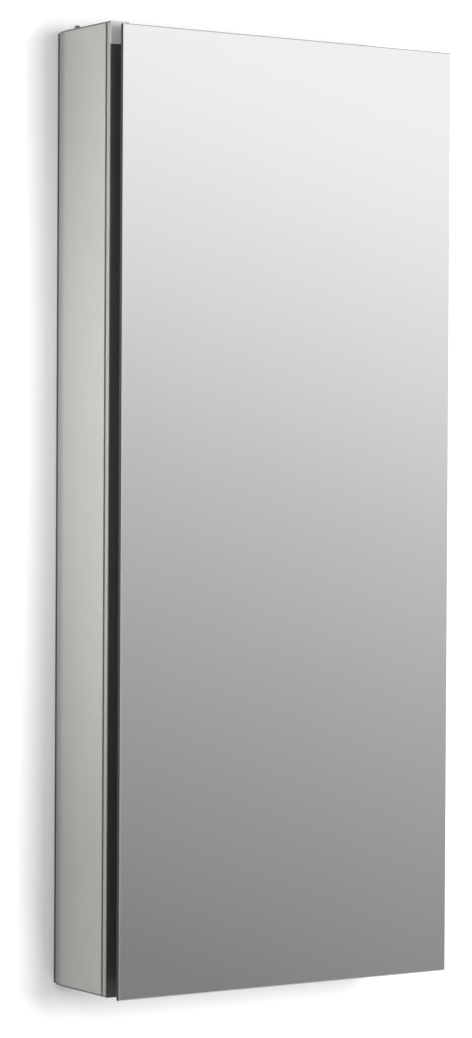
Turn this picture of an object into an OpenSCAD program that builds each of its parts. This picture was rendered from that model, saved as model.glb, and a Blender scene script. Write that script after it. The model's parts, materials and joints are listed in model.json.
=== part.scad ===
// Wall-hung mirrored medicine cabinet with one overhanging mirror door.
// +Z is up, +Y points into the wall, and the door faces -Y.
// The origin is at the middle of the cabinet's back face, which lies on the wall plane y = 0.
// The hinges are on the right-hand side, as seen by a person who faces the mirror.

/* [Cabinet] */
// Width of the mirror, and of the body behind it
cab_w = 381; // [340:1:500]
// Height of the body's side profiles with their caps
cab_h = 920; // [800:10:1000]
// Depth of the body, from the wall to the front of its side profiles
body_d = 100; // [92:1:140]

/* [Side profiles] */
// Width of each profile's front face
face_w = 20; // [20:1:22]
// Wall thickness of the profiles
wall = 2; // [1.6:0.2:2.4]
// Width of the shadow groove down each side
groove_w = 3; // [2:0.5:4]
// Distance from the front of the profile to the shadow groove
groove_setback = 5.5; // [4:0.5:7]

/* [Door] */
// How far the mirror's top edge lies below the top of the side profiles
mirror_drop = 5; // [5:1:12]
// Space between the front of the body and the back of the mirror panel, for fingers
finger_gap = 18.5; // [16.5:0.5:22]
// Thickness of the front mirror
mirror_t = 4; // [3:0.5:5]
// Distance from the mirror's edge to the door frame behind it
frame_inset = 12; // [11:0.5:13]
// Width of the door frame's stiles and rails
stile_w = 36; // [34:1:44]

/* [Shelves] */
// Thickness of the glass shelves
shelf_t = 5; // [4:1:6]
// Distance between neighbouring shelf-pin holes
pin_pitch = 32; // [25:1:40]

/* [Hidden] */
$fn = 48;
eps = 0.01;

// Body
shelf_count = 3;
half_w = cab_w / 2;
half_h = cab_h / 2;
inner_x = half_w - face_w;
cap_t = 1.6;
cap_inset = 0.7;
profile_top = half_h - cap_t;
panel_t = 1.5;
panel_drop = 4;
panel_top = half_h - panel_drop;
panel_lip = 24;
back_t = 2;
back_inset = 1.6;
rail_t = 3;
rail_h = 18;
wall_screw_r = 3.25;
wall_screw_x = 140;
wall_screw_z = half_h - 15;
back_glass_t = 3;

// Side profile section
groove_d = 2.5;
front_block = 14;
front_wall = 4;
band_flat = 7;
band_soft = 15;
band_angle = 8;
band_r = band_soft / sin(band_angle);
port_x = 6.5;
port_y = -28;
port_r = 3.6;
port_bore_r = 1.7;

// Seals and their end piece
seal_t = 1.5;
seal_stop_h = 20;
seal_crown = 0.45;

// Door, front to back
mirror_bottom = -half_h;
mirror_top = half_h - mirror_drop;
mirror_bevel = 1;
tape_t = 0.8;
tape_w = 18;
tape_inset = 3;
backing_t = 1.2;
backing_inset = 0.5;
frame_front = -(body_d + finger_gap);
frame_back = -(body_d + seal_t + 0.2);
frame_t = frame_back - frame_front;
frame_x = half_w - frame_inset;
frame_top = mirror_top - frame_inset;
frame_bottom = mirror_bottom + frame_inset;
backing_front = frame_front - backing_t;
glass_back = backing_front - tape_t;
glass_front = glass_back - mirror_t;
frame_wall = 1.6;
recess_d = 1.2;
rib_u = 25;
slot_u = 28;
inner_glass_t = 3;
slot_clear = 0.2;
inner_glass_back = frame_back - recess_d - slot_clear;
key_leg = 50;
key_clear = 0.2;
rivet_r = 1.6;
rivet_head_r = 3;
rivet_head_t = 0.6;

// Hinge
knuckle_r = 2.8;
pin_r = 1.25;
pin_bore_r = 1.3;
leaf_t = 1.2;
knuckle_gap = 0.3;
knuckle_count = 35;
hinge_x = half_w - 6.5;
hinge_y = -(body_d + knuckle_gap + knuckle_r);
hinge_bottom = frame_bottom + 4;
hinge_top = frame_top - 4;
knuckle_pitch = (hinge_top - hinge_bottom) / knuckle_count;
leaf_edge = hinge_x - knuckle_r - 0.5;
body_leaf_w = 9.5;
door_leaf_w = 15.5;
hinge_screw_count = 8;
hinge_screw_r = 1.4;
hinge_screw_head_r = 2.6;
body_screw_x = leaf_edge - 5;
door_screw_x = leaf_edge - 10.5;

// At the hinge side, the front of the profile's top is cut down level with the mirror's top edge
relief_d = 16;
relief_floor = mirror_top;

// Shelves and their pins
bay_h = 2 * (panel_top - panel_lip) / (shelf_count + 1);
shelf_gap_x = 4.5;
shelf_front = -(body_d - 8);
shelf_back = -10;
shelf_ease = 0.6;
pin_rows = [-78, -25];
pin_hole_r = 2.5;
pin_shank_r = 2.45;
pin_holes_each_way = 2;
pin_reach = 9;
pad_t = 0.8;

// Magnetic catches
catch_z = [-1, 1] * (panel_top - panel_lip - bay_h / 2);
catch_w = 14;
catch_l = 24;
catch_h = 44;
catch_front = frame_back + 0.3;
catch_ear_h = 12;
catch_ear_t = 3;
strike_x = [0.5 - inner_x, 15.5 - inner_x];
strike_h = 46;

// ---------------------------------------------------------------- helpers

// A box between two corners, each argument being [low, high]
module box(x, y, z) {
    translate([x[0], y[0], z[0]]) cube([x[1] - x[0], y[1] - y[0], z[1] - z[0]]);
}

// A rod along X, from x[0] to x[1]
module rod_x(x, y, z, r) {
    translate([x[0], y, z]) rotate([0, 90, 0]) cylinder(h = x[1] - x[0], r = r);
}

// A rod along Y, from y[0] to y[1]
module rod_y(x, y, z, r) {
    translate([x, y[0], z]) rotate([-90, 0, 0]) cylinder(h = y[1] - y[0], r = r);
}

// A rod along Z, from z[0] to z[1]
module rod_z(x, y, z, r) {
    translate([x, y, z[0]]) cylinder(h = z[1] - z[0], r = r);
}

// The children, and their mirror image on the other side of the cabinet
module both_sides() {
    children();
    mirror([1, 0, 0]) children();
}

// Outline of a sheet seen edge-on, w by t, with its corners eased by c; front_only leaves the back square
function eased_outline(w, t, c, front_only = false) =
    let (b = front_only ? 0 : c)
    [[-w / 2 + c, 0], [w / 2 - c, 0], [w / 2, c], [w / 2, t - b],
     [w / 2 - b, t], [-w / 2 + b, t], [-w / 2, t - b], [-w / 2, c]];

// A sheet w by h by t in the XZ plane with its front face at y = 0 and its centre at the origin
module eased_sheet(w, h, t, c, front_only = false) {
    intersection() {
        translate([0, 0, -h / 2]) linear_extrude(h) polygon(eased_outline(w, t, c, front_only));
        rotate([0, 90, 0]) translate([0, 0, -w / 2]) linear_extrude(w)
            polygon(eased_outline(h, t, c, front_only));
    }
}

// ---------------------------------------------------------------- side profiles

// Section of the left profile: its outer face is at x = 0 and it grows towards +x.
// Near the wall the outer face turns inwards on a wide arc and ends in a flat band.
module side_outline() {
    arc = [for (a = [0 : 1 : band_angle])
        [band_r * (1 - cos(a)), band_r * sin(a) - back_t - band_flat - band_soft]];
    rear_x = band_r * (1 - cos(band_angle)) + band_flat * tan(band_angle);
    polygon(concat([[0, -body_d]], arc, [[rear_x, -back_t], [face_w, -back_t], [face_w, -body_d]]));
}

module side_cavity() {
    polygon([
        [front_wall, wall - body_d], [front_wall, front_block - body_d],
        [wall, front_block + 2 - body_d], [wall, -band_soft],
        [front_wall + 2, -back_t - wall], [face_w - wall, -back_t - wall], [face_w - wall, wall - body_d]
    ]);
}

module screw_port() {
    translate([port_x, port_y]) circle(port_r);
    translate([wall / 2, port_y - wall]) square([port_x - wall / 2, 2 * wall]);
}

module side_section() {
    difference() {
        side_outline();
        difference() {
            side_cavity();
            screw_port();
        }
        translate([-1, groove_setback - body_d]) square([groove_d + 1, groove_w]);
        translate([port_x, port_y]) circle(port_bore_r);
    }
}

// Height of the glass's lower face on shelf k, counted from the bottom
function shelf_z(k) = -(panel_top - panel_lip) + (k + 1) * bay_h - shelf_t / 2;

// Height of the axis of the pins that carry shelf k
function pin_z(k) = shelf_z(k) - pad_t - pin_shank_r;

module pin_holes() {
    for (k = [0 : shelf_count - 1], y = pin_rows, i = [-pin_holes_each_way : pin_holes_each_way])
        rod_x([-inner_x - wall - 1, -inner_x + 1], y, pin_z(k) + i * pin_pitch, pin_hole_r);
}

panel_screw_y = [-78, -36];
panel_screw_z = panel_top - 10;
panel_screw_r = 1.5;
panel_screw_head_r = 3.2;

module panel_screw_pilots() {
    for (y = panel_screw_y, z = [-panel_screw_z, panel_screw_z])
        rod_x([-inner_x - wall - 1, -inner_x + 1], y, z, panel_screw_r + 0.1);
}

module side_profile() {
    difference() {
        translate([-half_w, 0, -profile_top]) linear_extrude(2 * profile_top) side_section();
        pin_holes();
        panel_screw_pilots();
    }
}

module side_profile_left() {
    color("#bcbab5") difference() {
        side_profile();
        for (z = catch_z, s = [-1, 1])
            rod_x([-inner_x - wall - 1, -inner_x + 1], catch_screw_y, z + s * catch_screw_dz,
                  catch_screw_r + 0.1);
    }
}

module side_profile_right() {
    color("#bcbab5") difference() {
        mirror([1, 0, 0]) side_profile();
        box([inner_x - 1, half_w + 1], [-body_d - 1, relief_d - body_d], [relief_floor - cap_t, half_h]);
        for (i = [0 : hinge_screw_count - 1])
            rod_y(body_screw_x, [-body_d - 1, wall + 1 - body_d], hinge_screw_z(i), hinge_screw_r + 0.1);
    }
}

// ---------------------------------------------------------------- end caps

cap_plug_h = 8;
cap_plug_clear = 0.3;
cap_front_plug_end = -42;

// Plate and plug of a top left cap, with a plain or a countersunk screw hole
module cap_body(sunk) {
    difference() {
        union() {
            intersection() {
                box([-half_w, -inner_x], [0.4 - body_d, -back_t], [profile_top, half_h]);
                translate([cap_inset - half_w, 0, 0]) linear_extrude(half_h) side_outline();
            }
            box([front_wall + cap_plug_clear - half_w, -inner_x - wall - cap_plug_clear],
                [wall + cap_plug_clear + relief_d - body_d, cap_front_plug_end],
                [profile_top - cap_plug_h, profile_top + eps]);
        }
        rod_z(port_x - half_w, port_y, [profile_top - 1, half_h + 1], port_bore_r + 0.4);
        if (sunk) translate([port_x - half_w, port_y, profile_top])
            cylinder(h = cap_t + eps, r1 = port_bore_r, r2 = cap_screw_head_r + 0.1);
    }
}

module top_cap_left() {
    color("#8d8c88") cap_body(sunk = false);
}

module top_cap_right() {
    color("#8d8c88") {
        difference() {
            mirror([1, 0, 0]) cap_body(sunk = false);
            box([inner_x - 1, half_w + 1], [-body_d - 1, relief_d - body_d], [relief_floor - 20, half_h + 1]);
        }
        // The step down into the relief at the hinge side
        box([inner_x, half_w - cap_inset], [0.4 - body_d, relief_d - body_d],
            [relief_floor - cap_t, relief_floor]);
        box([inner_x + wall + cap_plug_clear, half_w - front_wall - cap_plug_clear],
            [relief_d - body_d - eps, relief_d - body_d + cap_t], [relief_floor - cap_t, profile_top + eps]);
    }
}

module bottom_cap_left() {
    color("#8d8c88") mirror([0, 0, 1]) cap_body(sunk = true);
}

module bottom_cap_right() {
    color("#8d8c88") mirror([0, 0, 1]) mirror([1, 0, 0]) cap_body(sunk = true);
}

cap_screw_r = 1.6;
cap_screw_l = 16;
cap_screw_head_r = 2.7;
cap_screw_head_h = 3.4;

// Pan-head screw that holds a top cap
module pan_cap_screw() {
    translate([port_x - half_w, port_y, half_h]) difference() {
        union() {
            translate([0, 0, -cap_screw_l]) cylinder(h = cap_screw_l + eps, r = cap_screw_r);
            cylinder(h = cap_screw_head_h - 0.7, r = cap_screw_head_r);
            translate([0, 0, cap_screw_head_h - 0.7])
                cylinder(h = 0.7, r1 = cap_screw_head_r, r2 = cap_screw_head_r - 0.6);
        }
        for (a = [0, 90])
            rotate([0, 0, a]) translate([-1.6, -0.4, cap_screw_head_h - 1.4]) cube([3.2, 0.8, 2]);
    }
}

// Countersunk screw that holds a bottom cap, with its head flush
module flush_cap_screw() {
    translate([port_x - half_w, port_y, profile_top]) difference() {
        union() {
            translate([0, 0, -cap_screw_l]) cylinder(h = cap_screw_l + eps, r = cap_screw_r);
            cylinder(h = cap_t, r1 = cap_screw_r, r2 = cap_screw_head_r);
        }
        for (a = [0, 90])
            rotate([0, 0, a]) translate([-1.6, -0.4, cap_t - 0.8]) cube([3.2, 0.8, 1]);
    }
}

module cap_screws() {
    color("#5d5c5a") both_sides() {
        pan_cap_screw();
        mirror([0, 0, 1]) flush_cap_screw();
    }
}

// ---------------------------------------------------------------- top, bottom and back

module wall_screw_holes(y) {
    for (x = [-wall_screw_x, wall_screw_x], z = [-wall_screw_z, wall_screw_z])
        rod_y(x, y, z, wall_screw_r);
}

// Folded sheet-metal tray that closes the top of the body: a web with four turned-down flanges
module end_tray() {
    under_web = panel_top - panel_t;
    difference() {
        union() {
            box([-inner_x, inner_x], [-body_d, -back_t], [under_web, panel_top]);
            box([-inner_x, inner_x], [-body_d, panel_t - body_d], [panel_top - panel_lip, panel_top]);
            box([-inner_x, inner_x], [-back_t - panel_t, -back_t], [panel_top - rail_h - 4, panel_top]);
            both_sides()
                box([-inner_x, panel_t - inner_x], [8 - body_d, -8], [panel_top - rail_h, under_web + eps]);
        }
        both_sides() for (y = panel_screw_y)
            rod_x([-inner_x - 1, panel_t + 1 - inner_x], y, panel_screw_z, panel_screw_r + 0.6);
        wall_screw_holes([-back_t - panel_t - 1, 1]);
    }
}

module top_panel() {
    color("#c4c2be") end_tray();
}

module bottom_panel() {
    color("#c4c2be") mirror([0, 0, 1]) end_tray();
}

// One pan-head screw from inside the tray into the left profile
module panel_screw(y) {
    seat = panel_t - inner_x;
    rod_x([seat - 9, seat + eps], y, panel_screw_z, panel_screw_r);
    difference() {
        translate([seat, y, panel_screw_z]) rotate([0, 90, 0])
            cylinder(h = 2, r1 = panel_screw_head_r, r2 = panel_screw_head_r - 0.8);
        for (a = [0, 90])
            translate([seat + 1, y, panel_screw_z]) rotate([a, 0, 0])
                translate([0, -1.8, -0.4]) cube([2, 3.6, 0.8]);
    }
}

module panel_screws() {
    color("#9a9a98") both_sides() for (y = panel_screw_y) {
        panel_screw(y);
        mirror([0, 0, 1]) panel_screw(y);
    }
}

// Black composite board behind the whole body; its edge makes a dark line at the wall
module back_panel() {
    color("#2b2b2b") difference() {
        box([back_inset - half_w, half_w - back_inset], [-back_t, 0],
            [back_inset - half_h, half_h - back_inset]);
        wall_screw_holes([-back_t - 1, 1]);
    }
}

module mounting_rail() {
    difference() {
        box([-inner_x + 6, inner_x - 6], [-back_t - panel_t - rail_t, -back_t - panel_t],
            [wall_screw_z - rail_h / 2, wall_screw_z + rail_h / 2]);
        wall_screw_holes([-back_t - panel_t - rail_t - 1, 0]);
    }
}

module mounting_rail_top() {
    color("#a9a9a7") mounting_rail();
}

module mounting_rail_bottom() {
    color("#a9a9a7") mirror([0, 0, 1]) mounting_rail();
}

module back_mirror() {
    color("#d9dcdd") translate([0, -back_t - back_glass_t, 0])
        eased_sheet(2 * inner_x - 2, 2 * (panel_top - panel_lip), back_glass_t, 0.6, front_only = true);
}

// ---------------------------------------------------------------- seals

// Section of a seal w wide: flat on the body, slightly crowned on the side that meets the door
module seal_section(w) {
    crown_r = (w * w / 4 + seal_crown * seal_crown) / (2 * seal_crown);
    intersection() {
        translate([-w / 2, -seal_t]) square([w, seal_t]);
        translate([0, crown_r - seal_t]) circle(crown_r, $fn = 180);
    }
}

module seal_left() {
    color("#262523") translate([-half_w + face_w / 2, -body_d, -half_h])
        linear_extrude(half_h + profile_top - seal_stop_h) seal_section(face_w - 0.4);
}

// Seal on the front lip of the top tray
module seal_across() {
    translate([-inner_x + 0.2, -body_d, panel_top - panel_lip / 2]) rotate([0, 90, 0])
        linear_extrude(2 * inner_x - 2) seal_section(panel_lip - 4);
}

module seal_top() {
    color("#262523") seal_across();
}

module seal_bottom() {
    color("#262523") mirror([0, 0, 1]) seal_across();
}

// Light grey end piece above the left seal
module seal_stop() {
    color("#b4b2ad")
        box([-half_w, -inner_x], [-body_d - seal_t, -body_d], [profile_top - seal_stop_h, half_h]);
}

// ---------------------------------------------------------------- shelves

// Glass shelf k, lying flat with its edges eased
module glass_shelf(k) {
    depth = shelf_back - shelf_front;
    color("#bcd6cf", 0.5) translate([0, shelf_front + depth / 2, shelf_z(k)]) rotate([90, 0, 0])
        eased_sheet(2 * (inner_x - shelf_gap_x), depth, shelf_t, shelf_ease);
}

module shelf_bottom() {
    glass_shelf(0);
}

module shelf_middle() {
    glass_shelf(1);
}

module shelf_top() {
    glass_shelf(2);
}

// One pin in the left profile: shank, collar and a flat-topped tongue under the glass
module shelf_pin(y, z) {
    rod_x([-inner_x - 7, -inner_x + eps], y, z, pin_shank_r);
    rod_x([-inner_x, -inner_x + 1.5], y, z, 4);
    intersection() {
        rod_x([-inner_x + 1, -inner_x + pin_reach], y, z, 4);
        box([-inner_x, -inner_x + pin_reach], [y - 5, y + 5], [z - 5, z + pin_shank_r]);
    }
}

module shelf_pins() {
    color("#b9bbbc") both_sides() for (k = [0 : shelf_count - 1], y = pin_rows) shelf_pin(y, pin_z(k));
}

module shelf_pads() {
    color("#e4e6e6") both_sides() for (k = [0 : shelf_count - 1], y = pin_rows)
        box([-inner_x + shelf_gap_x, -inner_x + pin_reach], [y - 2.8, y + 2.8],
            [shelf_z(k) - pad_t, shelf_z(k)]);
}

// ---------------------------------------------------------------- magnetic catches

catch_screw_r = 1.4;
catch_screw_dz = catch_h / 2 + catch_ear_h / 2;
catch_screw_y = catch_front + catch_l / 2;
magnet_x = 3;
pole_t = 1.5;
magnet_h = 26;

module catch_housing(z) {
    difference() {
        union() {
            box([-inner_x, -inner_x + catch_w], [catch_front, catch_front + catch_l],
                [z - catch_h / 2, z + catch_h / 2]);
            box([-inner_x, -inner_x + catch_ear_t], [catch_front + 5, catch_front + catch_l - 5],
                [z - catch_h / 2 - catch_ear_h, z + catch_h / 2 + catch_ear_h]);
        }
        box([-inner_x + magnet_x, -inner_x + catch_w - magnet_x],
            [catch_front - 1, catch_front + catch_l - 4],
            [z - magnet_h / 2, z + magnet_h / 2]);
        for (s = [-1, 1])
            rod_x([-inner_x - 1, -inner_x + catch_ear_t + 1], catch_screw_y, z + s * catch_screw_dz,
                  catch_screw_r + 0.3);
    }
}

module catch_housings() {
    color("#e2e1de") for (z = catch_z) catch_housing(z);
}

// Two steel pole plates with the magnet between them, set in the housing's pocket
module catch_magnet(z) {
    x0 = -inner_x + magnet_x;
    x1 = -inner_x + catch_w - magnet_x;
    box([x0, x0 + pole_t], [catch_front, catch_front + catch_l - 4], [z - magnet_h / 2, z + magnet_h / 2]);
    box([x1 - pole_t, x1], [catch_front, catch_front + catch_l - 4], [z - magnet_h / 2, z + magnet_h / 2]);
    box([x0 + pole_t, x1 - pole_t], [catch_front + 1.5, catch_front + catch_l - 4],
        [z - magnet_h / 2, z + magnet_h / 2]);
}

module catch_magnets() {
    color("#6f7072") for (z = catch_z) catch_magnet(z);
}

// Domed screw whose head sits on the plane x = seat and whose shank runs to -x
module dome_screw_x(seat, y, z, r, head_r, l) {
    rod_x([seat - l, seat + eps], y, z, r);
    translate([seat, y, z]) rotate([0, 90, 0]) cylinder(h = 1.4, r1 = head_r, r2 = head_r - 0.7);
}

module catch_screws() {
    color("#9a9a98") for (z = catch_z, s = [-1, 1])
        dome_screw_x(-inner_x + catch_ear_t, catch_screw_y, z + s * catch_screw_dz, catch_screw_r, 2.8, 9);
}

// ---------------------------------------------------------------- hinge

function hinge_screw_z(i) =
    hinge_bottom + (i + 0.5) * (hinge_top - hinge_bottom) / hinge_screw_count;

// One knuckle in pitch i, with the tab that joins it to its leaf at height y
module knuckle(i, y) {
    z0 = hinge_bottom + i * knuckle_pitch + knuckle_gap / 2;
    z1 = z0 + knuckle_pitch - knuckle_gap;
    rod_z(hinge_x, hinge_y, [z0, z1], knuckle_r);
    box([leaf_edge - 0.5, hinge_x], y, [z0, z1]);
}

// Countersunk clearance for a flat-head screw whose head is flush with the plane y = face
module countersink(x, z, face) {
    rod_y(x, [face - 2, face + 6], z, hinge_screw_r + 0.3);
    translate([x, face, z]) rotate([-90, 0, 0])
        cylinder(h = leaf_t, r1 = hinge_screw_head_r + 0.1, r2 = hinge_screw_r + 0.3);
}

// A leaf whose knuckles start at pitch `first`, with its plate between the planes in y
module hinge_leaf(first, x, y) {
    difference() {
        union() {
            box([x[0], x[1]], y, [hinge_bottom, hinge_top]);
            for (i = [first : 2 : knuckle_count - 1]) knuckle(i, y);
        }
        rod_z(hinge_x, hinge_y, [hinge_bottom - 1, hinge_top + 1], pin_bore_r);
    }
}

module hinge_body_leaf() {
    face = -body_d - leaf_t;
    color("#a7a8a8") difference() {
        hinge_leaf(0, [leaf_edge - body_leaf_w, leaf_edge], [face, -body_d]);
        for (i = [0 : hinge_screw_count - 1]) countersink(body_screw_x, hinge_screw_z(i), face);
    }
}

module hinge_door_leaf() {
    color("#a7a8a8") difference() {
        hinge_leaf(1, [leaf_edge - door_leaf_w, leaf_edge], [frame_back - leaf_t, frame_back]);
        for (i = [0 : hinge_screw_count - 1])
            translate([0, 2 * frame_back, 0]) mirror([0, 1, 0])
                countersink(door_screw_x, hinge_screw_z(i), frame_back);
    }
}

module hinge_pin() {
    color("#8f9091") {
        rod_z(hinge_x, hinge_y, [hinge_bottom - 1, hinge_top + eps], pin_r);
        rod_z(hinge_x, hinge_y, [hinge_top, hinge_top + 1.2], knuckle_r - 0.4);
    }
}

// Flat-head screw with its head flush with y = face, its shank running towards +y
module flat_screw(x, z, face, l) {
    difference() {
        union() {
            translate([x, face, z]) rotate([-90, 0, 0])
                cylinder(h = leaf_t, r1 = hinge_screw_head_r, r2 = hinge_screw_r);
            rod_y(x, [face + leaf_t - eps, face + l], z, hinge_screw_r);
        }
        box([x - 1.5, x + 1.5], [face - 1, face + 0.5], [z - 0.35, z + 0.35]);
        box([x - 0.35, x + 0.35], [face - 1, face + 0.5], [z - 1.5, z + 1.5]);
    }
}

module hinge_body_screws() {
    color("#9a9a98") for (i = [0 : hinge_screw_count - 1])
        flat_screw(body_screw_x, hinge_screw_z(i), -body_d - leaf_t, 9);
}

module hinge_door_screws() {
    color("#9a9a98") for (i = [0 : hinge_screw_count - 1])
        translate([0, 2 * frame_back, 0]) mirror([0, 1, 0])
            flat_screw(door_screw_x, hinge_screw_z(i), frame_back, 8);
}

// ---------------------------------------------------------------- door panel

module front_mirror() {
    color("#c9ccce") translate([0, glass_front, (mirror_top + mirror_bottom) / 2])
        eased_sheet(cab_w, mirror_top - mirror_bottom, mirror_t, mirror_bevel, front_only = true);
}

module door_backing() {
    color("#232323") difference() {
        box([backing_inset - half_w, half_w - backing_inset], [backing_front, frame_front],
            [mirror_bottom + backing_inset, mirror_top - backing_inset]);
        rivet_places() rod_y(0, [backing_front - 1, frame_front + 1], 0, rivet_r + 0.1);
    }
}

// Four strips of double-sided tape just inside the mirror's edges
module mirror_tape() {
    x1 = half_w - tape_inset;
    z0 = mirror_bottom + tape_inset;
    z1 = mirror_top - tape_inset;
    y = [glass_back, backing_front];
    color("#303030") {
        both_sides() box([-x1, tape_w - x1], y, [z0, z1]);
        box([tape_w - x1 + 1, x1 - tape_w - 1], y, [z1 - tape_w, z1]);
        box([tape_w - x1 + 1, x1 - tape_w - 1], y, [z0, z0 + tape_w]);
    }
}

rivets_per_stile = 4;
rivets_per_rail = 2;
rivet_u = 13;

// The children at every rivet, in the middle of the frame's hollow
module rivet_places() {
    z_mid = (frame_top + frame_bottom) / 2;
    stile_step = (frame_top - frame_bottom - 2 * key_leg) / rivets_per_stile;
    rail_step = (2 * frame_x - 2 * key_leg) / (rivets_per_rail + 1);
    for (i = [0 : rivets_per_stile - 1], s = [-1, 1])
        translate([s * (frame_x - rivet_u), 0, z_mid + (i - (rivets_per_stile - 1) / 2) * stile_step])
            children();
    for (i = [1 : rivets_per_rail], z = [frame_bottom + rivet_u, frame_top - rivet_u])
        translate([-frame_x + key_leg + i * rail_step, 0, z]) children();
}

module backing_rivets() {
    color("#8b8b8b") rivet_places() {
        rod_y(0, [backing_front - eps, frame_front + frame_wall + 1], 0, rivet_r);
        rod_y(0, [backing_front - rivet_head_t, backing_front], 0, rivet_head_r);
        rod_y(0, [frame_front + frame_wall, frame_front + frame_wall + 1.6], 0, rivet_r + 0.9);
    }
}

// ---------------------------------------------------------------- door frame

// Section of the frame bar: u runs from the outer edge inwards, v from the door's front to its back
module frame_section() {
    slot_v1 = frame_t - recess_d;
    slot_v0 = slot_v1 - inner_glass_t - 2 * slot_clear;
    difference() {
        square([stile_w, frame_t]);
        translate([frame_wall, frame_wall]) square([rib_u - frame_wall, frame_t - 2 * frame_wall - recess_d]);
        translate([rib_u + frame_wall, frame_wall])
            square([stile_w - rib_u - 2 * frame_wall, slot_v0 - 2 * frame_wall]);
        translate([slot_u, slot_v0]) square([stile_w - slot_u + 1, slot_v1 - slot_v0]);
    }
}

// A bar of length l along +Z with both ends mitred at 45 degrees, outer edge on x = 0, front on y = 0
module frame_bar(l) {
    intersection() {
        linear_extrude(l) frame_section();
        translate([0, frame_t + 1, 0]) rotate([90, 0, 0]) linear_extrude(frame_t + 2)
            polygon([[-1, -1], [stile_w + 1, stile_w + 1], [stile_w + 1, l - stile_w - 1], [-1, l + 1]]);
    }
}

module stile() {
    translate([-frame_x, frame_front, frame_bottom]) frame_bar(frame_top - frame_bottom);
}

module frame_rivet_holes() {
    rivet_places() rod_y(0, [frame_front - 1, frame_front + frame_wall + 0.5], 0, rivet_r + 0.1);
}

module door_stile_left() {
    color("#c0beba") difference() {
        stile();
        frame_rivet_holes();
        for (z = catch_z) {
            box([strike_x[0] - 0.2, strike_x[1] + 0.2], [frame_back - recess_d, frame_back + 1],
                [z - strike_h / 2 - 0.2, z + strike_h / 2 + 0.2]);
            for (s = [-1, 1])
                rod_y(strike_mid, [frame_back - 5, frame_back], z + s * strike_screw_dz, hinge_screw_r + 0.1);
        }
    }
}

// Shallow recess in the back of the frame that the hinge's door leaf lies in
module leaf_recess() {
    box([leaf_edge - door_leaf_w - 0.2, frame_x + 1], [frame_back - recess_d, frame_back + 1],
        [hinge_bottom - 0.2, hinge_top + 0.2]);
}

module door_stile_right() {
    color("#c0beba") difference() {
        mirror([1, 0, 0]) stile();
        frame_rivet_holes();
        leaf_recess();
        for (i = [0 : hinge_screw_count - 1])
            rod_y(door_screw_x, [frame_back - 5, frame_back], hinge_screw_z(i), hinge_screw_r + 0.1);
    }
}

// A frame bar laid along X, with its outer edge at z = 0 and its inner edge towards -Z
module rail_bar() {
    translate([-frame_x, frame_front, 0]) rotate([0, 90, 0]) frame_bar(2 * frame_x);
}

module door_rail_top() {
    color("#c0beba") difference() {
        translate([0, 0, frame_top]) rail_bar();
        frame_rivet_holes();
        leaf_recess();
    }
}

module door_rail_bottom() {
    color("#c0beba") difference() {
        translate([0, 0, frame_bottom]) mirror([0, 0, 1]) rail_bar();
        frame_rivet_holes();
        leaf_recess();
    }
}

// Angle piece inside the frame at the top left corner
module corner_key() {
    x0 = frame_wall + key_clear - frame_x;
    x1 = rib_u - key_clear - frame_x;
    z0 = frame_top - frame_wall - key_clear;
    z1 = frame_top - rib_u + key_clear;
    y = [frame_front + frame_wall + key_clear, frame_back - frame_wall - recess_d - key_clear];
    box([x0, x1], y, [z0 - key_leg, z0]);
    box([x0, x0 + key_leg], y, [z1, z0]);
}

module corner_keys() {
    middle = frame_top + frame_bottom;
    color("#8f8f8d") both_sides() {
        corner_key();
        translate([0, 0, middle]) mirror([0, 0, 1]) corner_key();
    }
}

module inner_mirror() {
    lap = stile_w - slot_u - 0.5;
    w = 2 * (frame_x - stile_w + lap);
    h = frame_top - frame_bottom - 2 * (stile_w - lap);
    color("#c9ccce") translate([0, inner_glass_back, (frame_top + frame_bottom) / 2]) rotate([0, 0, 180])
        eased_sheet(w, h, inner_glass_t, 0.5, front_only = true);
}

strike_mid = (strike_x[0] + strike_x[1]) / 2;
strike_screw_dz = 15;

module strike_plates() {
    color("#a2a3a4") difference() {
        for (z = catch_z)
            box(strike_x, [frame_back - recess_d, frame_back], [z - strike_h / 2, z + strike_h / 2]);
        for (z = catch_z, s = [-1, 1])
            translate([0, 2 * frame_back, 0]) mirror([0, 1, 0])
                countersink(strike_mid, z + s * strike_screw_dz, frame_back);
    }
}

module strike_screws() {
    color("#9a9a98") for (z = catch_z, s = [-1, 1])
        translate([0, 2 * frame_back, 0]) mirror([0, 1, 0])
            flat_screw(strike_mid, z + s * strike_screw_dz, frame_back, 7);
}

// ---------------------------------------------------------------- nodes

side_profile_left();
side_profile_right();
top_cap_left();
top_cap_right();
bottom_cap_left();
bottom_cap_right();
cap_screws();
top_panel();
bottom_panel();
panel_screws();
back_panel();
mounting_rail_top();
mounting_rail_bottom();
back_mirror();
seal_left();
seal_top();
seal_bottom();
seal_stop();
shelf_bottom();
shelf_middle();
shelf_top();
shelf_pins();
shelf_pads();
catch_housings();
catch_magnets();
catch_screws();
hinge_body_leaf();
hinge_pin();
hinge_body_screws();
front_mirror();
mirror_tape();
door_backing();
backing_rivets();
door_stile_left();
door_stile_right();
door_rail_top();
door_rail_bottom();
corner_keys();
inner_mirror();
strike_plates();
strike_screws();
hinge_door_leaf();
hinge_door_screws();
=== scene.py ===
"""Looks of the wall-hung mirrored medicine cabinet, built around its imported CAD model.

All lengths are metres in the row frame: +Z up, +Y into the wall, the door faces -Y.
"""

import json
import math

import bpy
from mathutils import Matrix, Vector


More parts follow.
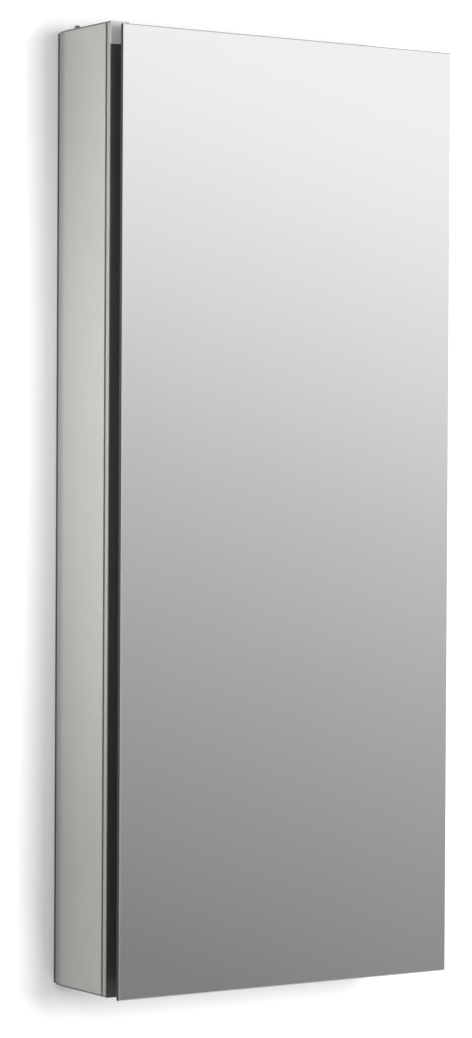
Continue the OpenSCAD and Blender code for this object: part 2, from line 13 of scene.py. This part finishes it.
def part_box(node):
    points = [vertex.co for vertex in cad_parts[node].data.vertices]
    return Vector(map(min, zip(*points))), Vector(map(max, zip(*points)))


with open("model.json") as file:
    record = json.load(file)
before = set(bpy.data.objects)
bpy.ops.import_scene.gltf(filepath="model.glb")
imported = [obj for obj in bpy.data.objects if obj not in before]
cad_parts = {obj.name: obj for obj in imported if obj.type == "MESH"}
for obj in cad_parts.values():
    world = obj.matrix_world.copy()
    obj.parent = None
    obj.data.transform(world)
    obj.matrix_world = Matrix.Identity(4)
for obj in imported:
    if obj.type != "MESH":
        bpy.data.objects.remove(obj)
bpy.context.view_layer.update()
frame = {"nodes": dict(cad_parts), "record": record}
nodes = frame["nodes"]
scene = bpy.context.scene

MM = 0.001
MIRROR_LO, MIRROR_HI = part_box("front_mirror")
PROFILE_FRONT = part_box("side_profile_left")[0].y

# ---------------------------------------------------------------- camera

# Where the camera stands, from the middle of the mirror's front face
CAMERA_OFFSET = Vector((-1.811, -2.665, 0.033))
CAMERA_YAW = math.radians(33.27)
CAMERA_PITCH = math.radians(-0.70)
CAMERA_ROLL = math.radians(0.31)
CAMERA_LENS = 115.63
CAMERA_SENSOR = 36.0
CAMERA_NEAR = 0.05
CAMERA_FAR = 60.0


def mirror_middle():
    middle = (MIRROR_LO + MIRROR_HI) / 2
    return Vector((middle.x, MIRROR_LO.y, middle.z))


def camera_turn():
    """The camera's rotation, from its yaw, pitch and roll."""
    forward = Vector((
        math.sin(CAMERA_YAW) * math.cos(CAMERA_PITCH),
        math.cos(CAMERA_YAW) * math.cos(CAMERA_PITCH),
        math.sin(CAMERA_PITCH),
    ))
    right = Vector((math.cos(CAMERA_YAW), -math.sin(CAMERA_YAW), 0.0))
    up = right.cross(forward)
    rolled_right = right * math.cos(CAMERA_ROLL) + up * math.sin(CAMERA_ROLL)
    rolled_up = up * math.cos(CAMERA_ROLL) - right * math.sin(CAMERA_ROLL)
    return Matrix((rolled_right, rolled_up, -forward)).transposed().to_4x4()


def add_camera():
    data = bpy.data.cameras.new("camera")
    data.lens = CAMERA_LENS
    data.sensor_width = CAMERA_SENSOR
    data.clip_start = CAMERA_NEAR
    data.clip_end = CAMERA_FAR
    camera = bpy.data.objects.new("camera", data)
    camera.matrix_world = Matrix.Translation(mirror_middle() + CAMERA_OFFSET) @ camera_turn()
    scene.collection.objects.link(camera)
    scene.camera = camera


# ---------------------------------------------------------------- node helpers


class Nodes:
    """A node tree, with short ways to add nodes to it and join them up."""

    def __init__(self, tree):
        self.tree = tree
        self.coords = tree.nodes.new("ShaderNodeTexCoord")

    def feed(self, socket, value):
        """Puts a number, a colour or another node's output into a socket."""
        if isinstance(value, bpy.types.NodeSocket):
            self.tree.links.new(value, socket)
        else:
            socket.default_value = value

    def maths(self, operation, a, b=0.0):
        node = self.tree.nodes.new("ShaderNodeMath")
        node.operation = operation
        self.feed(node.inputs[0], a)
        self.feed(node.inputs[1], b)
        return node.outputs["Value"]

    def weigh(self, a, weight_a, b, weight_b):
        """The sum of two values, each times its weight."""
        return self.maths("ADD", self.maths("MULTIPLY", a, weight_a), self.maths("MULTIPLY", b, weight_b))

    def remap(self, value, low, high, start=0.3, end=0.7):
        """Goes from low to high while value goes from start to end, and stays there outside them."""
        node = self.tree.nodes.new("ShaderNodeMapRange")
        node.inputs["From Min"].default_value = start
        node.inputs["From Max"].default_value = end
        node.inputs["To Min"].default_value = low
        node.inputs["To Max"].default_value = high
        self.tree.links.new(value, node.inputs["Value"])
        return node.outputs["Result"]

    def mask(self, value, start=0.3, end=0.7):
        """0 up to the start and 1 from the end on."""
        return self.remap(value, 0.0, 1.0, start, end)

    def join(self, kind, factor, a, b):
        node = self.tree.nodes.new("ShaderNodeMix")
        node.data_type = kind
        self.feed(node.inputs["Factor"], factor)
        self.feed(node.inputs["A"], a)
        self.feed(node.inputs["B"], b)
        return node.outputs["Result"]

    def mix(self, factor, a, b):
        """A colour that goes from a to b as factor goes from 0 to 1."""
        return self.join("RGBA", factor, a, b)

    def blend(self, factor, a, b):
        """A number that goes from a to b as factor goes from 0 to 1."""
        return self.join("FLOAT", factor, a, b)

    def part(self, vector, axis):
        """A vector's part along one axis."""
        split = self.tree.nodes.new("ShaderNodeSeparateXYZ")
        self.tree.links.new(vector, split.inputs["Vector"])
        return split.outputs[axis]


class Surface(Nodes):
    """One node-based material. Its patterns use object coordinates, which are the row frame in metres."""

    def __init__(self, name, **sockets):
        self.material = bpy.data.materials.new(name)
        self.material.use_nodes = True
        super().__init__(self.material.node_tree)
        self.bsdf = self.tree.nodes["Principled BSDF"]
        for socket, value in sockets.items():
            self.bsdf.inputs[socket.replace("_", " ")].default_value = value

    def set(self, socket, value):
        self.feed(self.bsdf.inputs[socket], value)

    def noise(self, scale, detail=2.0, rough=0.5, stretch=(1.0, 1.0, 1.0)):
        mapping = self.tree.nodes.new("ShaderNodeMapping")
        mapping.inputs["Scale"].default_value = stretch
        self.tree.links.new(self.coords.outputs["Object"], mapping.inputs["Vector"])
        node = self.tree.nodes.new("ShaderNodeTexNoise")
        node.inputs["Scale"].default_value = scale
        node.inputs["Detail"].default_value = detail
        node.inputs["Roughness"].default_value = rough
        self.tree.links.new(mapping.outputs["Vector"], node.inputs["Vector"])
        return node.outputs["Fac"]

    def bump(self, height, depth, strength):
        node = self.tree.nodes.new("ShaderNodeBump")
        node.inputs["Distance"].default_value = depth
        node.inputs["Strength"].default_value = strength
        self.tree.links.new(height, node.inputs["Height"])
        self.tree.links.new(node.outputs["Normal"], self.bsdf.inputs["Normal"])

    def along(self, axis):
        """Position along one axis of the row frame."""
        return self.part(self.coords.outputs["Object"], axis)

    def normal(self, axis):
        """The surface normal's part along one axis, from -1 to 1."""
        return self.part(self.coords.outputs["Normal"], axis)

    def facing(self, axis):
        """How squarely the surface faces along an axis, either way: 1 face-on, 0 edge-on."""
        return self.maths("ABSOLUTE", self.normal(axis))

    def slab(self, axis, start, end, fade):
        """1 between two positions along an axis, falling to 0 over the fade on both sides."""
        place = self.along(axis)
        rise = self.remap(place, 0.0, 1.0, start - fade, start)
        fall = self.remap(place, 1.0, 0.0, end, end + fade)
        return self.maths("MULTIPLY", rise, fall)


# ---------------------------------------------------------------- colours and pattern sizes


def grey(value, tint=(1.0, 1.0, 1.0)):
    return (value * tint[0], value * tint[1], value * tint[2], 1.0)


WARM = (1.0, 0.984, 0.940)
WHITE = (1.0, 1.0, 1.0)

# How a pattern is stretched into lines along one axis
ALONG_Z = (1.0, 1.0, 0.012)
ALONG_X = (0.012, 1.0, 1.0)

# Noise scales, per metre: a higher number is a finer pattern
DRAWN_LINES = 1400.0
FILM_CLOUD = 7.0
FILM_GRAIN = 5200.0
SMUDGES = 24.0
RUBBED_SPECKS = 900.0
PLATING_MOTTLE = 420.0
PLATING_GRAIN = 3800.0
MOULD_DUST = 60.0
MOULD_GRAIN = 2600.0
SEAL_DUST = 80.0
MIRROR_HAZE = 14.0
GRINDING = 2400.0
GLASS_DRIFT = 30.0
STAGE_FLECKS = 90.0

# Depths of the surface relief
FILM_RELIEF = 0.012 * MM
PLATING_RELIEF = 0.01 * MM
MOULD_RELIEF = 0.03 * MM
FINE_MOULD_RELIEF = 0.015 * MM
RIB_RELIEF = 0.06 * MM

RIB_PITCH = 1.6 * MM
RIB_WAVE = 2 * math.pi / RIB_PITCH

# The side profile's painted shade, in a band beside the wall and a strip in front of the shadow groove.
# Each is its start and its end along Y, how softly it fades, and its painted brightness beside the rest.
GROOVE_SETBACK = 5.5 * MM
REAR_PAINTED_SHADE = (-8 * MM, 0.0, 9 * MM, 0.74)
FRONT_PAINTED_SHADE = (PROFILE_FRONT, PROFILE_FRONT + GROOVE_SETBACK, 0.5 * MM, 0.84)

# Where a mirror's glass turns from edge to arris and from arris to face, by how squarely it faces along Y
EDGE_TO_ARRIS = (0.30, 0.40)
ARRIS_TO_FACE = (0.90, 0.97)
# The surface normal's part along X: the -X arris, which carries the painted highlight, is whole up to the
# first, and gone from the second
HIGHLIGHT_ARRIS_NORMAL_X = (-0.6, -0.3)

# Darker and lighter tone of each part of the glass
MIRROR_EDGE = ((0.010, 0.015, 0.013, 1.0), (0.020, 0.028, 0.025, 1.0))
DULL_ARRIS = ((0.46, 0.49, 0.48, 1.0), (0.54, 0.57, 0.56, 1.0))
# The -X arris's tone is a painted highlight, brighter than the other arrises.
PAINTED_HIGHLIGHT_ARRIS = ((0.90, 0.93, 0.92, 1.0), (0.95, 0.98, 0.97, 1.0))
SILVER = ((0.892, 0.898, 0.900, 1.0), (0.900, 0.905, 0.907, 1.0))
SHELF_EDGE = ((0.42, 0.72, 0.62, 1.0), (0.50, 0.80, 0.70, 1.0))
SHELF_FACE = (0.96, 0.99, 0.98, 1.0)
GLASS_IOR = 1.5


# ---------------------------------------------------------------- materials


def anodised(name, low, high, rough, metal, grain_axis, painted_shade_bands=()):
    """Satin anodised aluminium: fine drawn lines, a soft cloud, faint smudges and rubbed specks, and
    stretches of painted shade along Y if any are given.
    """
    surface = Surface(name, Metallic=metal)
    lines = surface.noise(DRAWN_LINES, 3.0, 0.6, grain_axis)
    cloud = surface.noise(FILM_CLOUD)
    grain = surface.noise(FILM_GRAIN, 1.0)
    smudges = surface.mask(surface.noise(SMUDGES, 5.0, 0.65), 0.52, 0.68)
    specks = surface.mask(surface.noise(RUBBED_SPECKS, 4.0, 0.7), 0.66, 0.74)
    tone = surface.mask(surface.weigh(lines, 0.55, cloud, 0.45))
    film = surface.mix(tone, grey(low, WARM), grey(high, WARM))
    film = surface.mix(specks, film, grey(high * 1.12, WARM))
    # Painted shade: each listed stretch along Y gets a darker film colour, standing in for shade on the
    # metal.
    for start, end, fade, shade in painted_shade_bands:
        darker_tone = surface.mix(tone, grey(low * shade, WARM), grey(high * shade, WARM))
        film = surface.mix(surface.slab("Y", start, end, fade), film, darker_tone)
    surface.set("Base Color", film)
    line_roughness = surface.remap(lines, rough, rough + 0.10)
    surface.set("Roughness", surface.weigh(line_roughness, 1.0, smudges, 0.05))
    surface.bump(surface.weigh(lines, 0.5, grain, 0.5), FILM_RELIEF, 0.5)
    return surface.material


def plated_steel(name, low, high, rough):
    """Zinc-plated or brushed steel with faint mottling."""
    surface = Surface(name, Metallic=1.0)
    mottle = surface.noise(PLATING_MOTTLE, 4.0, 0.65)
    surface.set("Base Color", surface.mix(surface.mask(mottle), grey(low), grey(high)))
    surface.set("Roughness", surface.remap(mottle, rough, rough + 0.14))
    surface.bump(surface.noise(PLATING_GRAIN), PLATING_RELIEF, 0.4)
    return surface.material


def moulded(name, low, high, rough, tint=WHITE, relief=MOULD_RELIEF, painted_side_shade=1.0):
    """Moulded plastic or rubber with a fine grain and slight dust in its tone.

    The side shade argument is painted shade on the faces towards -X and +X: their brightness beside the
    others.
    """
    surface = Surface(name)
    dust = surface.noise(MOULD_DUST, 4.0, 0.6)
    face = surface.mix(surface.mask(dust), grey(low, tint), grey(high, tint))
    # Painted shade: the faces towards -X and +X get a darker colour than the rest.
    painted_shade_face = surface.mix(painted_side_shade, grey(0.0), face)
    surface.set("Base Color", surface.mix(surface.mask(surface.facing("X")), face, painted_shade_face))
    surface.set("Roughness", surface.remap(dust, rough, rough + 0.08))
    surface.bump(surface.noise(MOULD_GRAIN), relief, 0.5)
    return surface.material


def ribbed_seal(name, low, high, rough):
    """Extruded rubber seal: fine ribs along its length with a painted highlight along their crests, a little
    dust caught between them.
    """
    surface = Surface(name)
    ribs = surface.maths("SINE", surface.maths("MULTIPLY", surface.along("X"), RIB_WAVE))
    dust = surface.mask(surface.noise(SEAL_DUST, 4.0, 0.6, ALONG_Z))
    # Painted highlight: the rib crests are lighter in colour.
    painted_rib_highlight = surface.remap(ribs, 0.0, 0.4, -1.0, 1.0)
    tone = surface.weigh(dust, 0.6, painted_rib_highlight, 1.0)
    surface.set("Base Color", surface.mix(tone, grey(low, WARM), grey(high, WARM)))
    surface.set("Roughness", surface.remap(dust, rough, rough + 0.10, 0.0, 1.0))
    surface.bump(ribs, RIB_RELIEF, 0.6)
    return surface.material


def mirror_glass(name):
    """Silvered glass: a mirror on its face, a ground arris round it, and dark greenish square-cut edges.

    The arris along the edge at -X is smoother and carries a painted highlight, brighter than the arris along
    the others.
    """
    surface = Surface(name, IOR=GLASS_IOR, Specular_IOR_Level=0.06)
    facing = surface.facing("Y")
    past_edge = surface.mask(facing, *EDGE_TO_ARRIS)
    on_face = surface.mask(facing, *ARRIS_TO_FACE)
    haze = surface.mask(surface.noise(MIRROR_HAZE, 4.0, 0.6))
    grinding = surface.mask(surface.noise(GRINDING, 3.0, 0.6))
    highlight_side = surface.remap(surface.normal("X"), 1.0, 0.0, *HIGHLIGHT_ARRIS_NORMAL_X)
    darker_tone = surface.mix(grinding, *DULL_ARRIS)
    # Painted highlight: the -X arris is given a far brighter colour than the rest.
    polished = surface.mix(grinding, *PAINTED_HIGHLIGHT_ARRIS)
    arris = surface.mix(highlight_side, darker_tone, polished)
    rim = surface.mix(past_edge, surface.mix(grinding, *MIRROR_EDGE), arris)
    surface.set("Base Color", surface.mix(on_face, rim, surface.mix(haze, *SILVER)))
    surface.set("Metallic", past_edge)
    arris_rough = surface.blend(highlight_side, 0.45, surface.remap(grinding, 0.14, 0.22, 0.0, 1.0))
    face_rough = surface.remap(haze, 0.010, 0.018, 0.0, 1.0)
    surface.set("Roughness", surface.blend(on_face, arris_rough, face_rough))
    return surface.material


def clear_glass(name):
    """Clear float glass with a green tint that deepens towards its polished edges."""
    surface = Surface(name, IOR=GLASS_IOR, Transmission_Weight=1.0, Roughness=0.0)
    face = surface.mask(surface.facing("Z"), 0.45, 0.55)
    edge = surface.mix(surface.mask(surface.noise(GLASS_DRIFT)), *SHELF_EDGE)
    surface.set("Base Color", surface.mix(face, edge, SHELF_FACE))
    return surface.material


# All makers but the two of glass are given the darker and the lighter tone, then the roughness
MATERIALS = {
    "satin_aluminium": anodised(
        "satin_aluminium", 0.258, 0.295, 0.46, metal=0.36, grain_axis=ALONG_Z,
        # The side profiles carry painted shade beside the wall and in front of the groove.
        painted_shade_bands=(REAR_PAINTED_SHADE, FRONT_PAINTED_SHADE),
    ),
    "sheet_aluminium": anodised("sheet_aluminium", 0.56, 0.64, 0.34, metal=0.55, grain_axis=ALONG_X),
    "grey_cap": moulded("grey_cap", 0.055, 0.075, 0.42, WARM),
    "grey_end_piece": moulded(
        # The end piece's sides get painted shade, half as bright as its front.
        "grey_end_piece", 0.60, 0.68, 0.55, WARM, relief=FINE_MOULD_RELIEF, painted_side_shade=0.5,
    ),
    "dark_screw": plated_steel("dark_screw", 0.16, 0.22, 0.34),
    "zinc_steel": plated_steel("zinc_steel", 0.52, 0.62, 0.28),
    "hinge_steel": plated_steel("hinge_steel", 0.50, 0.58, 0.30),
    "magnet_steel": plated_steel("magnet_steel", 0.24, 0.32, 0.36),
    "chrome_pin": plated_steel("chrome_pin", 0.74, 0.80, 0.10),
    "mirror_glass": mirror_glass("mirror_glass"),
    "shelf_glass": clear_glass("shelf_glass"),
    "black_seal": ribbed_seal("black_seal", 0.034, 0.046, 0.44),
    "black_tape": moulded("black_tape", 0.016, 0.024, 0.70),
    "black_sheet": moulded("black_sheet", 0.014, 0.020, 0.50),
    "black_board": moulded("black_board", 0.020, 0.030, 0.46),
    "white_plastic": moulded("white_plastic", 0.66, 0.72, 0.40, WARM),
    "clear_pad": moulded("clear_pad", 0.70, 0.76, 0.25),
}


def paint_nodes():
    """Gives every carried-over CAD node the material of its slot in the record."""
    for row in frame["record"]["subparts"]:
        obj = nodes[row["node"]]
        obj.data.materials.clear()
        obj.data.materials.append(MATERIALS[row["material_slot"]])


# ---------------------------------------------------------------- softened edges

# Width of the rounded edge, and the nodes that have it
SOFT_EDGES = {
    0.25 * MM: ["side_profile_left", "side_profile_right", "seal_stop"],
    0.5 * MM: ["catch_housings"],
    0.4 * MM: [
        "top_cap_left", "top_cap_right", "bottom_cap_left", "bottom_cap_right",
        "door_stile_left", "door_stile_right", "door_rail_top", "door_rail_bottom",
    ],
    0.3 * MM: ["top_panel", "bottom_panel", "seal_left", "seal_top", "seal_bottom", "door_backing"],
}
SOFT_ANGLE = math.radians(50)
SOFT_SEGMENTS = 2
WELD_DISTANCE = 0.01 * MM


def soften(obj, width):
    """Rounds an object's sharp edges with modifiers, so that they catch the light."""
    weld = obj.modifiers.new("weld", "WELD")
    weld.merge_threshold = WELD_DISTANCE
    bevel = obj.modifiers.new("bevel", "BEVEL")
    bevel.width = width
    bevel.segments = SOFT_SEGMENTS
    bevel.limit_method = "ANGLE"
    bevel.angle_limit = SOFT_ANGLE
    bevel.use_clamp_overlap = True
    bevel.harden_normals = True


def soften_edges():
    for width, names in SOFT_EDGES.items():
        for name in names:
            soften(nodes[name], width)


# ---------------------------------------------------------------- stage

WALL_REACH = 3.0
WALL_GAP = 0.2 * MM
WALL_TONE = 0.90
FLOOR_DROP = 1.45
FLOOR_DEPTH = 3.0
FLOOR_TONE = 0.50
STAGE_ROUGHNESS = 0.9
FLECK_CONTRAST = 0.004


def stage_material(name, tone):
    """Matt paint with faint flecks, see-through from behind."""
    surface = Surface(name, Roughness=STAGE_ROUGHNESS)
    flecks = surface.mask(surface.noise(STAGE_FLECKS, 3.0))
    surface.set("Base Color", surface.mix(flecks, grey(tone - FLECK_CONTRAST), grey(tone)))
    geometry = surface.tree.nodes.new("ShaderNodeNewGeometry")
    clear = surface.tree.nodes.new("ShaderNodeBsdfTransparent")
    mixer = surface.tree.nodes.new("ShaderNodeMixShader")
    output = surface.tree.nodes["Material Output"]
    surface.tree.links.new(geometry.outputs["Backfacing"], mixer.inputs["Fac"])
    surface.tree.links.new(surface.bsdf.outputs["BSDF"], mixer.inputs[1])
    surface.tree.links.new(clear.outputs["BSDF"], mixer.inputs[2])
    surface.tree.links.new(mixer.outputs["Shader"], output.inputs["Surface"])
    return surface.material


def stage_mesh(name, points, faces, material):
    mesh = bpy.data.meshes.new(name)
    mesh.from_pydata(points, [], faces)
    mesh.materials.append(material)
    obj = bpy.data.objects.new(name, mesh)
    scene.collection.objects.link(obj)


def add_wall():
    """A pale wall with an opening hidden behind the cabinet's back board."""
    lo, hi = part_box("back_panel")
    opening = [(lo.x, lo.z), (hi.x, lo.z), (hi.x, hi.z), (lo.x, hi.z)]
    r = WALL_REACH
    rim = [(-r, -FLOOR_DROP), (r, -FLOOR_DROP), (r, r), (-r, r)]
    points = [(x, WALL_GAP, z) for x, z in rim + opening]
    faces = [(0, 1, 5, 4), (1, 2, 6, 5), (2, 3, 7, 6), (3, 0, 4, 7)]
    stage_mesh("wall", points, faces, stage_material("wall_paint", WALL_TONE))


def add_floor():
    r = WALL_REACH
    z = -FLOOR_DROP
    points = [(-r, -FLOOR_DEPTH, z), (r, -FLOOR_DEPTH, z), (r, WALL_GAP, z), (-r, WALL_GAP, z)]
    stage_mesh("floor", points, [(0, 1, 2, 3)], stage_material("floor_paint", FLOOR_TONE))


# ---------------------------------------------------------------- light

# Brightness of the surroundings by height: sine of elevation, then radiance
SKY_STOPS = [
    (-1.00, 0.07), (-0.16, 0.245), (-0.08, 0.365), (0.0, 0.575), (0.07, 0.83), (0.13, 1.00), (0.30, 0.95),
    (0.70, 0.70), (1.00, 0.50),
]
SKY_TILT = 0.37
SKY_TILT_WAVES = 4.0
SKY_TILT_CENTRE = math.radians(34.0)
# Brightness of the surroundings where the camera sees them directly
BACKDROP = 0.72


def tilted_height(sky):
    """Height of a direction in the surroundings, leaning gently to one side."""
    direction = sky.coords.outputs["Generated"]
    toward_room = sky.maths("MULTIPLY", sky.part(direction, "Y"), -1.0)
    heading = sky.maths("ARCTAN2", sky.part(direction, "X"), toward_room)
    phase = sky.maths("MULTIPLY", sky.maths("SUBTRACT", heading, SKY_TILT_CENTRE), SKY_TILT_WAVES)
    lean = sky.maths("MULTIPLY", sky.maths("SINE", phase), SKY_TILT / SKY_TILT_WAVES)
    return sky.maths("ADD", sky.part(direction, "Z"), lean)


def add_world():
    """Soft surroundings, darker below and brighter above. The camera sees them as plain pale grey."""
    world = bpy.data.worlds.new("studio")
    world.use_nodes = True
    scene.world = world
    sky = Nodes(world.node_tree)
    low, high = SKY_STOPS[0][0], SKY_STOPS[-1][0]
    ramp = sky.tree.nodes.new("ShaderNodeValToRGB")
    ramp.color_ramp.interpolation = "B_SPLINE"
    stops = ramp.color_ramp.elements
    while len(stops) < len(SKY_STOPS):
        stops.new(0.5)
    for stop, (level, value) in zip(stops, SKY_STOPS):
        stop.position = (level - low) / (high - low)
        stop.color = grey(value)
    sky.feed(ramp.inputs["Fac"], sky.mask(tilted_height(sky), low, high))
    path = sky.tree.nodes.new("ShaderNodeLightPath")
    shown = sky.mix(path.outputs["Is Camera Ray"], ramp.outputs["Color"], grey(BACKDROP))
    sky.feed(sky.tree.nodes["Background"].inputs["Color"], shown)


def add_softbox(name, place, target, size, power):
    """A soft rectangular light that is never seen itself, nor in a mirror or through glass."""
    data = bpy.data.lights.new(name, "AREA")
    data.shape = "RECTANGLE"
    data.size, data.size_y = size
    data.energy = power
    light = bpy.data.objects.new(name, data)
    aim = Vector(target) - Vector(place)
    light.matrix_world = Matrix.Translation(place) @ aim.to_track_quat("-Z", "Y").to_matrix().to_4x4()
    light.visible_camera = False
    light.visible_glossy = False
    light.visible_transmission = False
    scene.collection.objects.link(light)


def add_lights():
    add_softbox("fill", place=(0.0, -1.0, -1.25), target=(-0.1, 0.0, -0.5), size=(0.5, 0.4), power=2.2)
    add_softbox("key", place=(0.5, -2.6, 0.15), target=(0.0, 0.0, 0.0), size=(1.0, 1.0), power=57.0)
    add_softbox("side", place=(-0.78, -0.08, 0.14), target=(-0.19, -0.06, 0.12), size=(0.20, 0.30), power=6.3)


# ---------------------------------------------------------------- build

add_camera()
paint_nodes()
soften_edges()
add_wall()
add_floor()
add_world()
add_lights()
scene.view_settings.view_transform = "Standard"
scene.view_settings.look = "None"
